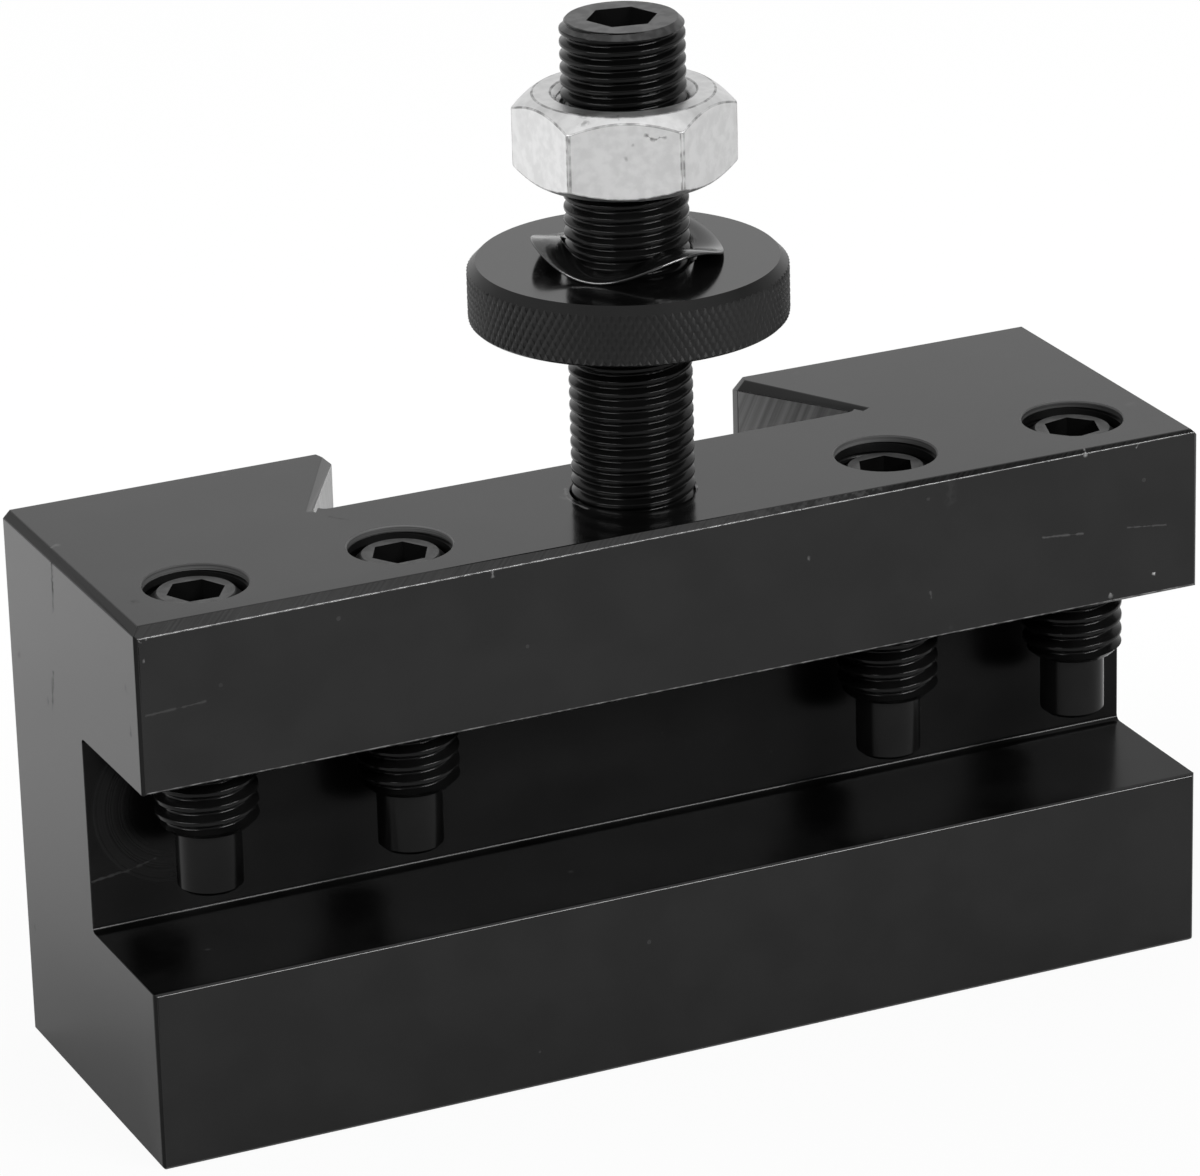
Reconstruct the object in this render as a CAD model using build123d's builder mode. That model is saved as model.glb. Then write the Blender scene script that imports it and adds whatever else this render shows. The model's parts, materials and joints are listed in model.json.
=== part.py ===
# Quick-change lathe tool holder: a slotted steel block with a dovetail at the
# back, four full-dog set screws that clamp the tool shank, and a height stud
# that carries a knurled thumb nut, a wave spring washer and a lock nut.
#
# Lengths are millimetres. X runs along the block, Y from the open tool slot
# (front) to the dovetail (back), Z up. The origin is the middle of the block's
# underside.
from build123d import *
import math
import os

# Block, front to back: tool slot, web, dovetail
block_length = 112.0
slot_depth = 16.2
web_thickness = 4.5
dovetail_depth = 14.6

# Block, bottom to top: lower jaw, tool slot, upper jaw
lower_jaw_height = 18.4
slot_height = 20.25
upper_jaw_height = 16.65
slot_corner_radius = 0.6

# Dovetail that slides onto the tool post
dovetail_mouth = 44.3
dovetail_angle = 60.0
dovetail_lip_land = 1.2
dovetail_root_radius = 1.2

# Edge breaks of the block
front_edge_break_left = 0.95
front_edge_break_right = 0.3
end_edge_break = 0.75
corner_edge_break = 0.37
base_edge_break = 0.4
slot_lip_break = 0.25
flank_edge_break_root = 0.5
flank_edge_break_lip = 0.9
lip_corner_break = 1.3
wedge_margin = 0.5

# Tool clamping set screws, M10 with a full dog point
screw_from_front = 8.55
screw_from_end = 9.45
screw_pair_pitch = 20.75
screw_diameter = 9.96
screw_length = 30.0
screw_dog_diameter = 6.4
screw_dog_length = 6.5
screw_head_chamfer = 0.9
screw_shoulder_chamfer = 0.8
screw_dog_chamfer = 0.4
screw_socket_across_flats = 5.0
screw_socket_depth = 5.0
screw_hole_countersink = 0.14
# Height of each dog tip above the slot floor and turn of its socket, left to right
screw_tip_heights = (6.15, 6.1, 5.6, 5.95)
screw_socket_turns = (-3.0, 2.0, 5.7, 12.0)

# Height stud, M12 fine, screwed into the upper jaw
stud_from_front = 11.45
stud_diameter = 11.96
stud_length = 62.4
stud_engagement = 15.1
stud_end_chamfer = 0.8
stud_socket_across_flats = 6.0
stud_socket_depth = 7.0
stud_socket_turn = -10.2
stud_hole_runout = 0.5
stud_hole_countersink = 0.2

# Clearances
screw_thread_clearance = 0.05
stud_thread_clearance = 0.05
nut_thread_clearance = 0.05
washer_seat_gap = 0.04

# Thumb nut
thumb_nut_lift = 17.8
thumb_nut_diameter = 30.86
thumb_nut_height = 5.86
thumb_nut_top_chamfer = 0.88
thumb_nut_bottom_chamfer = 0.3
thumb_nut_bore_chamfer = 0.6

# Wave spring washer, three waves
washer_outer_diameter = 18.35
washer_inner_diameter = 12.7
washer_thickness = 0.3
washer_wave_height = 1.93
washer_crest_azimuth = 44.4
washer_waves = 3
stations_per_wave = 12

# Lock nut
lock_nut_gap = 8.2
lock_nut_across_flats = 18.7
lock_nut_height = 8.3
lock_nut_corner_azimuth = -24.4
lock_nut_face_diameter = 17.4
lock_nut_top_bevel = 36.0
lock_nut_bottom_bevel = 30.0
lock_nut_bore_chamfer = 0.9

drill_point_angle = 118.0
hex_sides = 6

# Planes and lines of the block
block_depth = slot_depth + web_thickness + dovetail_depth
block_height = lower_jaw_height + slot_height + upper_jaw_height
front_y = -block_depth / 2
back_y = block_depth / 2
slot_back_y = front_y + slot_depth
slot_floor_z = lower_jaw_height
slot_ceiling_z = slot_floor_z + slot_height
dovetail_floor_y = back_y - dovetail_depth
end_x = block_length / 2

# Places of the screws, the stud and what is on the stud
screw_y = front_y + screw_from_front
outer_screw_x = end_x - screw_from_end
inner_screw_x = outer_screw_x - screw_pair_pitch
screw_centres_x = (-outer_screw_x, -inner_screw_x, inner_screw_x, outer_screw_x)
stud_y = front_y + stud_from_front
stud_bottom_z = block_height - stud_engagement
thumb_nut_z = block_height + thumb_nut_lift
thumb_nut_top_z = thumb_nut_z + thumb_nut_height
washer_z = thumb_nut_top_z + washer_seat_gap
lock_nut_z = thumb_nut_top_z + lock_nut_gap
nut_bore_diameter = stud_diameter + 2 * nut_thread_clearance


def edge_wedge(start, end, inward, size_start, size_end):
    """Wedge that breaks the top edge from start to end, wider at one end."""
    run = (end - start).normalized()
    with BuildPart() as wedge:
        for point, size in ((start, size_start), (end, size_end)):
            with BuildSketch(Plane(origin=point, x_dir=inward, z_dir=run)) as section:
                with BuildLine():
                    Polyline(
                        (size + wedge_margin, wedge_margin),
                        (-wedge_margin, wedge_margin),
                        (-wedge_margin, -size - wedge_margin),
                        close=True,
                    )
                make_face()
        loft(ruled=True)
    return wedge.part


def upright_edge_wedge(start, end, inward, size_start, size_end):
    """Edge wedge whose triangle stands with its point down."""
    if inward.cross(Vector(0, 0, 1)).dot(end - start) < 0:
        start, end = end, start
        size_start, size_end = size_end, size_start
    return edge_wedge(start, end, inward, size_start, size_end)


def socket_point_depth(across_flats):
    """Depth of the drill point under a hex socket."""
    return across_flats / 2 / math.tan(math.radians(drill_point_angle / 2))


# Places of the dovetail's lips and roots
flank_run = (dovetail_depth - dovetail_lip_land) / math.tan(math.radians(dovetail_angle))
lip_x = dovetail_mouth / 2
root_x = lip_x + flank_run

front_edge_wedge = upright_edge_wedge(
    Vector(-end_x - wedge_margin, front_y, block_height),
    Vector(end_x + wedge_margin, front_y, block_height),
    Vector(0, 1, 0),
    front_edge_break_left,
    front_edge_break_right,
)

# The flank of each lip runs from the root to the lip's land; inward is away
# from the dovetail's space
flank_wedges = []
for side in (-1, 1):
    root = Vector(side * root_x, dovetail_floor_y, block_height)
    lip = Vector(side * lip_x, back_y - dovetail_lip_land, block_height)
    back_corner = Vector(side * lip_x, back_y + wedge_margin, block_height)
    flank_inward = Vector(side * (lip - root).Y, -side * (lip - root).X, 0).normalized()
    flank_wedges.append(
        upright_edge_wedge(root, lip, flank_inward, flank_edge_break_root, flank_edge_break_lip)
    )
    flank_wedges.append(
        upright_edge_wedge(lip, back_corner, Vector(side, 0, 0), flank_edge_break_lip, lip_corner_break)
    )

with BuildPart() as holder_block:
    # End profile: a C open to the front
    with BuildSketch(Plane.YZ.offset(-end_x)) as end_profile:
        with BuildLine():
            Polyline(
                (front_y, 0),
                (back_y, 0),
                (back_y, block_height),
                (front_y, block_height),
                (front_y, slot_ceiling_z),
                (slot_back_y, slot_ceiling_z),
                (slot_back_y, slot_floor_z),
                (front_y, slot_floor_z),
                close=True,
            )
        make_face()
    extrude(amount=block_length)
    slot_roots = holder_block.edges().filter_by(Axis.X).filter_by_position(
        Axis.Y, slot_back_y - 0.01, slot_back_y + 0.01
    )
    fillet(slot_roots, radius=slot_corner_radius)

    # Edge breaks of the plain block
    top_edges = holder_block.edges().filter_by(Axis.Y).group_by(Axis.Z)[-1]
    chamfer(top_edges, length=end_edge_break)
    slot_lips = (
        holder_block.edges()
        .filter_by(Axis.X)
        .filter_by_position(Axis.Y, front_y - 0.01, front_y + 0.01)
        .filter_by_position(Axis.Z, slot_floor_z - 0.01, slot_ceiling_z + 0.01)
    )
    chamfer(slot_lips, length=slot_lip_break)
    base_front = (
        holder_block.edges()
        .filter_by(Axis.X)
        .filter_by_position(Axis.Y, front_y - 0.01, front_y + 0.01)
        .group_by(Axis.Z)[0]
    )
    base_ends = holder_block.edges().filter_by(Axis.Y).group_by(Axis.Z)[0]
    chamfer(base_front + base_ends, length=base_edge_break)
    corner_edges = holder_block.edges().filter_by(Axis.Z).group_by(Axis.Y)[0]
    chamfer(corner_edges, length=corner_edge_break)
    add(front_edge_wedge, mode=Mode.SUBTRACT)

    # Dovetail, open at the top and the bottom
    with BuildSketch(Plane.XY) as dovetail:
        with BuildLine():
            Polyline(
                (-root_x, dovetail_floor_y),
                (root_x, dovetail_floor_y),
                (lip_x, back_y - dovetail_lip_land),
                (lip_x, back_y + wedge_margin),
                (-lip_x, back_y + wedge_margin),
                (-lip_x, back_y - dovetail_lip_land),
                close=True,
            )
        make_face()
        fillet(dovetail.vertices().group_by(Axis.Y)[0], radius=dovetail_root_radius)
    extrude(amount=block_height, mode=Mode.SUBTRACT)
    for wedge in flank_wedges:
        add(wedge, mode=Mode.SUBTRACT)

    # Tapped holes for the set screws and the stud, at their crest size
    with Locations(*[(x, screw_y, block_height) for x in screw_centres_x]):
        CounterSinkHole(
            radius=screw_diameter / 2 + screw_thread_clearance,
            counter_sink_radius=screw_diameter / 2 + screw_thread_clearance + screw_hole_countersink,
            depth=upper_jaw_height + slot_lip_break,
            counter_sink_angle=90,
        )
    with Locations((0, stud_y, block_height)):
        CounterSinkHole(
            radius=stud_diameter / 2 + stud_thread_clearance,
            counter_sink_radius=stud_diameter / 2 + stud_thread_clearance + stud_hole_countersink,
            depth=upper_jaw_height + stud_hole_runout,
            counter_sink_angle=90,
        )


def make_set_screw(label, centre_x, tip_z, socket_turn):
    """Set screw with a full dog point, standing on its tip at tip_z."""
    top_z = tip_z + screw_length
    thread_radius = screw_diameter / 2
    dog_radius = screw_dog_diameter / 2
    with BuildPart() as screw:
        with BuildSketch(
            Plane(origin=(centre_x, screw_y, tip_z), x_dir=(1, 0, 0), z_dir=(0, -1, 0))
        ) as half_profile:
            with BuildLine():
                Polyline(
                    (0, 0),
                    (dog_radius - screw_dog_chamfer, 0),
                    (dog_radius, screw_dog_chamfer),
                    (dog_radius, screw_dog_length),
                    (thread_radius - screw_shoulder_chamfer, screw_dog_length),
                    (thread_radius, screw_dog_length + screw_shoulder_chamfer),
                    (thread_radius, screw_length - screw_head_chamfer),
                    (thread_radius - screw_head_chamfer, screw_length),
                    (0, screw_length),
                    close=True,
                )
            make_face()
        revolve(axis=Axis((centre_x, screw_y, 0), (0, 0, 1)))
        with BuildSketch(Plane((centre_x, screw_y, top_z))) as socket:
            RegularPolygon(
                screw_socket_across_flats / 2, hex_sides, major_radius=False, rotation=socket_turn
            )
        extrude(amount=-screw_socket_depth, mode=Mode.SUBTRACT)
        with Locations((centre_x, screw_y, top_z - screw_socket_depth)):
            Cone(
                bottom_radius=0,
                top_radius=screw_socket_across_flats / 2,
                height=socket_point_depth(screw_socket_across_flats),
                align=(Align.CENTER, Align.CENTER, Align.MAX),
                mode=Mode.SUBTRACT,
            )
    screw.part.label = label
    return screw


set_screws = [
    make_set_screw(f"set_screw_{number}", x, slot_floor_z + tip_height, turn)
    for number, x, tip_height, turn in zip(
        range(1, 5), screw_centres_x, screw_tip_heights, screw_socket_turns
    )
]

with BuildPart() as height_stud:
    with BuildSketch(Plane((0, stud_y, stud_bottom_z))) as stud_section:
        Circle(stud_diameter / 2)
    extrude(amount=stud_length)
    chamfer(height_stud.edges().filter_by(GeomType.CIRCLE), length=stud_end_chamfer)
    with BuildSketch(Plane((0, stud_y, stud_bottom_z + stud_length))) as stud_socket:
        RegularPolygon(
            stud_socket_across_flats / 2, hex_sides, major_radius=False, rotation=stud_socket_turn
        )
    extrude(amount=-stud_socket_depth, mode=Mode.SUBTRACT)
    with Locations((0, stud_y, stud_bottom_z + stud_length - stud_socket_depth)):
        Cone(
            bottom_radius=0,
            top_radius=stud_socket_across_flats / 2,
            height=socket_point_depth(stud_socket_across_flats),
            align=(Align.CENTER, Align.CENTER, Align.MAX),
            mode=Mode.SUBTRACT,
        )

with BuildPart() as thumb_nut:
    with BuildSketch(Plane((0, stud_y, thumb_nut_z))) as thumb_nut_section:
        Circle(thumb_nut_diameter / 2)
        Circle(nut_bore_diameter / 2, mode=Mode.SUBTRACT)
    extrude(amount=thumb_nut_height)
    rims = thumb_nut.edges().filter_by(GeomType.CIRCLE)
    outer_rims = rims.filter_by(lambda rim: rim.radius > nut_bore_diameter)
    inner_rims = rims.filter_by(lambda rim: rim.radius < nut_bore_diameter)
    chamfer(inner_rims, length=thumb_nut_bore_chamfer)
    chamfer(outer_rims.sort_by(Axis.Z)[-1], length=thumb_nut_top_chamfer)
    chamfer(outer_rims.sort_by(Axis.Z)[0], length=thumb_nut_bottom_chamfer)

# One wave of the washer, from crest to crest about its own axis, is lofted
# through upright sections
washer_mid_radius = (washer_outer_diameter + washer_inner_diameter) / 4
washer_width = (washer_outer_diameter - washer_inner_diameter) / 2
with BuildPart() as washer_wave:
    for station in range(stations_per_wave + 1):
        turn = 2 * math.pi / washer_waves * station / stations_per_wave
        lift = washer_wave_height * (1 + math.cos(washer_waves * turn)) / 2
        azimuth = math.radians(washer_crest_azimuth) + turn
        with BuildSketch(
            Plane(
                origin=(0, 0, washer_thickness / 2 + lift),
                x_dir=(math.cos(azimuth), math.sin(azimuth), 0),
                z_dir=(-math.sin(azimuth), math.cos(azimuth), 0),
            )
        ) as washer_section:
            with Locations((washer_mid_radius, 0)):
                Rectangle(washer_width, washer_thickness)
    loft()

with BuildPart(Plane((0, stud_y, washer_z))) as spring_washer:
    with PolarLocations(0, washer_waves):
        add(washer_wave.part)

with BuildPart() as lock_nut:
    with BuildSketch(Plane((0, stud_y, lock_nut_z))) as lock_nut_section:
        RegularPolygon(
            lock_nut_across_flats / 2, hex_sides, major_radius=False, rotation=lock_nut_corner_azimuth
        )
        Circle(nut_bore_diameter / 2, mode=Mode.SUBTRACT)
    extrude(amount=lock_nut_height)
    bore_rims = lock_nut.edges().filter_by(GeomType.CIRCLE)
    chamfer(bore_rims, length=lock_nut_bore_chamfer)
    # Both ends are bevelled by a cone that leaves a round face
    face_radius = lock_nut_face_diameter / 2
    reach = lock_nut_across_flats / 2 / math.cos(math.pi / hex_sides) + wedge_margin
    top_drop = (reach - face_radius) * math.tan(math.radians(lock_nut_top_bevel))
    bottom_drop = (reach - face_radius) * math.tan(math.radians(lock_nut_bottom_bevel))
    with BuildSketch(Plane.XZ.offset(-stud_y)) as bevel_profile:
        with BuildLine():
            Polyline(
                (0, lock_nut_z),
                (face_radius, lock_nut_z),
                (reach, lock_nut_z + bottom_drop),
                (reach, lock_nut_z + lock_nut_height - top_drop),
                (face_radius, lock_nut_z + lock_nut_height),
                (0, lock_nut_z + lock_nut_height),
                close=True,
            )
        make_face()
    revolve(axis=Axis((0, stud_y, 0), (0, 0, 1)), mode=Mode.INTERSECT)

holder_block.part.label = "holder_block"
height_stud.part.label = "height_stud"
thumb_nut.part.label = "thumb_nut"
spring_washer.part.label = "spring_washer"
lock_nut.part.label = "lock_nut"

os.makedirs("parts", exist_ok=True)
for piece in (holder_block, *set_screws, height_stud, thumb_nut, spring_washer, lock_nut):
    export_step(piece.part, f"parts/{piece.part.label}.step")
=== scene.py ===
"""Looks, lights and camera for a quick-change lathe tool holder, built round the fixed frame."""
import json
import math

import bpy
from bpy.props import FloatProperty, FloatVectorProperty, IntProperty, PointerProperty
from mathutils import Matrix, Vector

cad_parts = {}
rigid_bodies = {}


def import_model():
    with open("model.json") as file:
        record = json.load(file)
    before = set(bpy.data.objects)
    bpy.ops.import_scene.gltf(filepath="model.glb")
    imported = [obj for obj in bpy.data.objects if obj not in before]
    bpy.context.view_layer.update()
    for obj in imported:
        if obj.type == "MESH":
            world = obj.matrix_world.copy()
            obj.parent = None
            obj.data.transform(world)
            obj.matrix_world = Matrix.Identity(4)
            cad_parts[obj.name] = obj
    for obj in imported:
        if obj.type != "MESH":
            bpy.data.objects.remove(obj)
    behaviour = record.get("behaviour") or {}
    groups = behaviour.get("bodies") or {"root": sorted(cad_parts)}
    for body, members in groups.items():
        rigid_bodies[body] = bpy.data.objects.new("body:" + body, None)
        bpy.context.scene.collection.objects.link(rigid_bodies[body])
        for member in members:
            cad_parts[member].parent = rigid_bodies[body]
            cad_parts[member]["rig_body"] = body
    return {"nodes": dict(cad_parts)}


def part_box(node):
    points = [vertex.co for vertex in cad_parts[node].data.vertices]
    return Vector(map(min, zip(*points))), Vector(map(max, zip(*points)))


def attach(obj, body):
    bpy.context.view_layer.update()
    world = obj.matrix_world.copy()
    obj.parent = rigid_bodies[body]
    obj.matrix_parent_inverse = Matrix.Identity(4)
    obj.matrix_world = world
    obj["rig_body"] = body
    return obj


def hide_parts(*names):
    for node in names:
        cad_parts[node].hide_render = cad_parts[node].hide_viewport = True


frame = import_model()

bl_info = {
    "name": "Lathe tool holder",
    "version": (1, 0, 0),
    "blender": (4, 5, 0),
    "location": "3D View > Sidebar > Tool holder",
    "description": "Models and finishes the pieces of a quick-change lathe tool holder",
    "category": "Object",
}

MM = 0.001
FULL_TURN = 2 * math.pi
WELD = 0.002 * MM
TINY = 0.0001 * MM
# Shorter edges than the first are merged away, and only longer ones than the second are softened
SHORT_EDGE = 0.12 * MM
LONG_EDGE = 0.9 * MM
# How far bars and taps run past the ends that they cut
OVERRUN = 1.0 * MM
HEX_SIDES = 6
DRILL_POINT_ANGLE = math.radians(118)
THREAD_HALF_ANGLE = math.radians(30)
SPARE_TURNS = 2

# How round the crests and roots of a thread are, as shares of its pitch
CREST_SOFTNESS = 0.1
ROOT_SOFTNESS = 0.12
ARC_PARTS = 3

# Steps in one full turn
THREAD_STEPS = 48
DRILL_STEPS = 48
SCREW_STEPS = 64
STUD_STEPS = 72
NUT_STEPS = 144
WASHER_STEPS = 180

# Widths of threads and taps that the settings don't hold
SCREW_ROOT = 0.22 * MM
STUD_ROOT = 0.2 * MM
HOLE_TAP_CREST, HOLE_TAP_ROOT = 0.3 * MM, 0.4 * MM
HOLE_TAP_DEPTH = 18 * MM
HOLE_CLEARANCE = 0.05 * MM
NUT_TAP_CREST, NUT_TAP_ROOT = 0.16 * MM, 0.3 * MM
NUT_TAP_GROOVE = 0.42 * MM

# The block's finishes, in the order of its material slots
GROUND, WORN_EDGE, MILLED, FILED, FLANK, BROKEN_EDGE, SLOT, COUNTERSINK = range(8)

# Where a noise texture turns from one state to the other
NOISE_BAND = (0.35, 0.65)
WIDE_NOISE_BAND = (0.3, 0.7)

NODES = frame["nodes"]
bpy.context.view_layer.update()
BLOCK_LOW, BLOCK_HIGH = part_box("holder_block")
STUD_LOW, STUD_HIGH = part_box("height_stud")
THUMB_LOW, THUMB_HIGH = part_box("thumb_nut")
WASHER_LOW, WASHER_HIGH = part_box("spring_washer")
LOCK_LOW, LOCK_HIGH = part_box("lock_nut")
SCREW_NAMES = [f"set_screw_{number}" for number in range(1, 5)]
SCREW_BOXES = {name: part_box(name) for name in SCREW_NAMES}
STUD_CENTRE = (STUD_LOW + STUD_HIGH) / 2
STUD_RADIUS = (STUD_HIGH.x - STUD_LOW.x) / 2

# The camera's film and how near and far it sees
SENSOR_WIDTH = 36
CLIP_START, CLIP_END = 0.01, 50
# Each softbox with its place, its two sides and its power
SOFTBOXES = (
    ("left_box", (-0.84, -0.24, 0.5), (0.7, 0.18), 6.5),
    ("right_box", (0.4, -0.78, 0.5), (0.6, 0.18), 10.5),
)
LIGHT_TARGET = (0, 0, 0.045)
FLOOR_SIZE = 8
FLOOR_WHITE_SHARE = 0.94
# Bands of brightness: from and to along one axis, and the brightness at each end
# The floor's grey, seen only in reflections, is painted shade: darker in front, darkest just by the block
# as a painted shadow, and pale behind
FLOOR_FRONT = (-0.1, -0.02, 0.44, 0.4)
FLOOR_BACK = (-0.01, 0.09, 0.46, 0.88)
ROOM_BACK = (-0.4, 0.6, 0.12, 1.0)
ROOM_LOWER = (0.0, 0.5, 1.0, 0.7)
ROOM_ABOVE = (0.5, 0.95, 0.0, 1.0)

# The block's faces: the number of the axis that each looks along, and its place in mm
FRONT_FACE, TOP_FACE, LEFT_END, SLOT_BACK = (1, -17.65), (2, 55.3), (0, -56.0), (1, -1.45)


def marks_on(face, *rows):
    """Hairlines on a flat face: start, end and width in mm, and how strongly each one shows."""
    axis, place = face
    marks = []
    for row in rows:
        start, end = list(row[:2]), list(row[2:4])
        start.insert(axis, place)
        end.insert(axis, place)
        marks.append((start, end, *row[4:]))
    return marks


# A nick that runs over the filed edge
EDGE_NICK = ((43.45, -17.45, 55.3), (43.34, -17.65, 54.76), 0.3, 0.5)
# Bare hairlines and dents on the block, then dull ones
LIGHT_MARKS = (
    *marks_on(
        FRONT_FACE,
        (-55.2, 46.7, -49.3, 47.0, 0.2, 0.05),
        (38.6, 47.0, 43.1, 46.6, 0.18, 0.1),
        (48.1, 46.3, 52.4, 45.8, 0.14, 0.08),
        (-20.0, 54.8, -20.0, 53.9, 0.3, 0.25),
        (-55.3, 54.7, -55.2, 54.5, 0.6, 0.9),
        (-55.15, 52.2, -55.15, 52.1, 0.2, 0.2),
        (51.1, 41.0, 51.1, 40.9, 0.3, 0.9),
        (46.2, 39.7, 46.2, 39.5, 0.4, 0.3),
        (26.2, 43.6, 26.3, 43.0, 0.2, 0.08),
        (13.0, 49.6, 13.0, 49.5, 0.3, 0.15),
        (28.5, 54.6, 28.4, 52.5, 0.9, 0.015),
        (49.31, 55.0, 49.03, 54.48, 0.28, 0.35),
    ),
    *marks_on(
        TOP_FACE,
        (-55.9, 5.6, -54.6, 6.4, 0.5, 0.12),
        (-5.8, -3.0, -6.5, -4.8, 0.35, 0.22),
        (-6.6, -5.0, -6.7, -7.2, 0.3, 0.18),
        (-6.6, -7.4, -6.2, -9.0, 0.3, 0.22),
        (-7.3, -4.0, -7.0, -5.6, 0.2, 0.1),
        (53.6, -8.3, 53.7, -8.3, 0.9, 0.05),
    ),
    EDGE_NICK,
)
DARK_MARKS = (
    *marks_on(
        LEFT_END,
        (4.2, 54.6, 4.2, 51.6, 0.6, 1.0),
        (4.2, 52.0, 4.5, 49.4, 0.4, 0.8),
        (5.5, 42.9, 6.4, 38.6, 0.45, 0.9),
        (6.0, 42.0, 6.2, 40.0, 0.35, 0.7),
        (-15.2, 44.8, -15.4, 44.0, 0.4, 0.8),
        (15.3, 41.3, 15.4, 41.1, 0.7, 0.6),
        (7.5, 39.2, 7.5, 39.1, 0.6, 0.6),
        (-9.7, 49.6, -9.7, 49.5, 0.6, 0.5),
        (-14.7, 48.6, -14.7, 48.4, 0.5, 0.6),
        (15.7, 12.1, 15.7, 12.0, 0.6, 0.6),
    ),
    *marks_on(
        TOP_FACE,
        (-53.4, -10.9, -53.5, -10.8, 0.7, 0.7),
        (-28.8, 1.0, -27.6, -0.7, 0.25, 0.6),
    ),
)
# The lower end of the arcs that the cutter left in the slot
SLOT_MARKS = marks_on(
    SLOT_BACK,
    (-55.8, 23.7, -52.0, 24.1, 0.24, 0.08),
    (-52.0, 24.1, -49.3, 24.8, 0.24, 0.08),
)
# A painted highlight: a lighter stroke on the washer's crest on the left
CREST_PAINTED_HIGHLIGHT = (((-8.3, -2.0, 81.2), (-6.3, -4.0, 81.2), 1.8, 0.5),)
# Right of the stud the filed edge gets painted shade: a wide stroke that dims its reflection
FILED_EDGE_PAINTED_SHADE = (((24.0, -17.3, 55.0), (56.0, -17.5, 55.2), 24.0, 0.97),)
# Scratches and scuffs in the lock nut's plating
ZINC_MARKS = (
    ((-2.02, -15.55, 93.84), (-1.59, -15.75, 93.48), 0.35, 0.9),
    ((-1.59, -15.75, 93.48), (-1.25, -15.9, 93.38), 0.3, 0.7),
    ((-1.25, -15.9, 93.38), (-0.91, -16.06, 93.61), 0.3, 0.8),
    ((-0.91, -16.06, 93.61), (-0.48, -16.25, 93.6), 0.25, 0.7),
    ((-3.83, -14.73, 91.62), (-3.8, -14.74, 91.6), 0.35, 0.5),
    ((-3.2, -15.01, 92.95), (-3.22, -15.0, 92.93), 0.25, 0.4),
    ((-6.94, -11.1, 95.4), (-6.4, -12.0, 95.3), 0.5, 0.7),
    ((-7.6, -12.3, 94.9), (-6.6, -12.6, 95.0), 0.45, 0.6),
    ((-3.95, -13.45, 95.46), (-4.1, -14.0, 95.2), 0.22, 0.9),
)


# Settings


def length(name, description, millimetres):
    """A length that is kept in metres and given in millimetres."""
    return FloatProperty(
        name=name, description=description, default=millimetres * MM, unit="LENGTH", precision=5
    )


def angle(name, description, degrees):
    return FloatProperty(
        name=name, description=description, default=math.radians(degrees), unit="ROTATION"
    )


def colour(name, description, value):
    return FloatVectorProperty(
        name=name, description=description, default=value, size=3, min=0, max=1, subtype="COLOR"
    )


class HolderBlockSettings(bpy.types.PropertyGroup):
    edge_softness: length("Edge softness", "Width of the soft strip along each edge", 0.09)
    hole_groove: length("Hole groove", "Depth of the thread grooves in the tapped holes", 0.33)
    hole_lead: length("Hole lead", "Plain length above the first thread of a tapped hole", 0.65)


class SetScrewSettings(bpy.types.PropertyGroup):
    pitch: length("Pitch", "Thread pitch of the set screws", 1.5)
    crest_width: length("Crest width", "Flat on top of the thread", 0.36)
    dog_diameter: length("Dog diameter", "Diameter of the plain point", 6.4)
    dog_length: length("Dog length", "Length of the plain point", 6.5)
    dog_chamfer: length("Dog chamfer", "Chamfer round the tip", 0.4)
    shoulder_chamfer: length("Shoulder chamfer", "Chamfer where the thread begins", 0.8)
    head_chamfer: length("Head chamfer", "Chamfer round the socket end", 1.3)
    socket_flats: length("Socket across flats", "Width of the hex socket", 5.0)
    socket_depth: length("Socket depth", "Depth of the hex socket", 5.0)


class HeightStudSettings(bpy.types.PropertyGroup):
    pitch: length("Pitch", "Thread pitch of the stud and its nuts", 1.25)
    crest_width: length("Crest width", "Flat on top of the thread", 0.34)
    end_chamfer: length("End chamfer", "Chamfer round both ends", 0.65)
    socket_flats: length("Socket across flats", "Width of the hex socket", 6.0)
    socket_depth: length("Socket depth", "Depth of the hex socket", 7.0)


class ThumbNutSettings(bpy.types.PropertyGroup):
    knurl_count: IntProperty(name="Knurl count", description="Diamonds round the rim", default=116)
    knurl_angle: angle("Knurl angle", "Slope of the knurl's grooves from upright", 30)
    knurl_depth: length("Knurl depth", "Depth of the knurl's grooves", 0.17)
    top_chamfer: length("Top chamfer", "Chamfer round the top face", 0.88)
    bottom_chamfer: length("Bottom chamfer", "Chamfer round the bottom face", 0.3)
    bore_chamfer: length("Bore chamfer", "Countersink at both ends of the bore", 0.6)
    bore_clearance: length("Bore clearance", "Gap between the stud's crest and the bore", 0.05)


class SpringWasherSettings(bpy.types.PropertyGroup):
    thickness: length("Thickness", "Thickness of the spring sheet", 0.3)
    bore: length("Bore", "Diameter of the hole", 12.7)
    waves: IntProperty(name="Waves", description="Waves round the washer", default=3)
    crest_azimuth: angle("Crest azimuth", "Direction of the first crest", 44.4)


class LockNutSettings(bpy.types.PropertyGroup):
    across_flats: length("Across flats", "Width of the hexagon", 18.7)
    face_diameter: length("Face diameter", "Diameter of the round end faces", 17.4)
    corner_azimuth: angle("Corner azimuth", "Direction of the first corner", -24.4)
    top_bevel: angle("Top bevel", "Slope of the bevel at the top", 36)
    bottom_bevel: angle("Bottom bevel", "Slope of the bevel at the bottom", 30)
    bore_chamfer: length("Bore chamfer", "Countersink at both ends of the bore", 0.9)
    corner_radius: length("Corner radius", "Rounding of the six upright edges", 0.45)


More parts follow.
